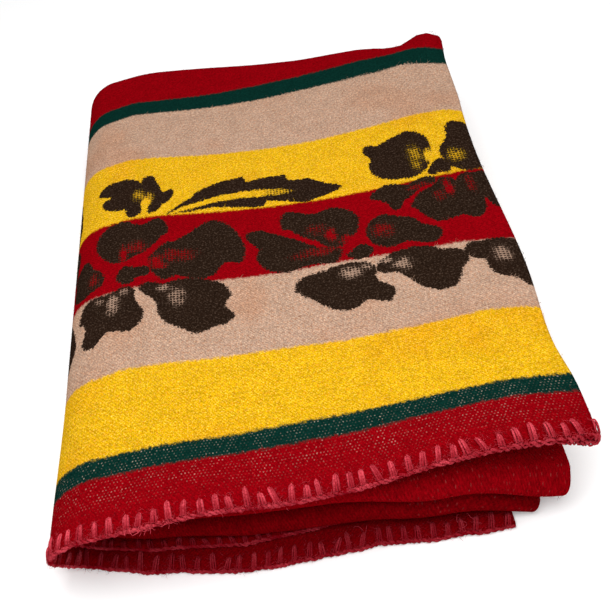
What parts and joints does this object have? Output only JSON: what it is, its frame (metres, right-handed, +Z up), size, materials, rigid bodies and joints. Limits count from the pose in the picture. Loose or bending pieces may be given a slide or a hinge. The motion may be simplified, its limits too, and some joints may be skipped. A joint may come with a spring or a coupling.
{
  "type": "throw blanket",
  "caption": "Thick felted wool throw blanket, striped with a band of dark flowers, folded into a flat stack with blanket-stitched ends at the front.",
  "frame": {"origin": "centre of the bounding box on the plane the stack rests on", "axes": "+X along the stripes from the round fold to the free ends, +Y from the stitched ends at the front to the back fold, +Z up through the layers"},
  "size_m": [0.3748, 0.5284, 0.1003],
  "materials": {
    "wool": "felted, brushed and matt"
  },
  "bodies": {
    "root": {"throw_cloth": "wool"}
  },
  "joints": []
}
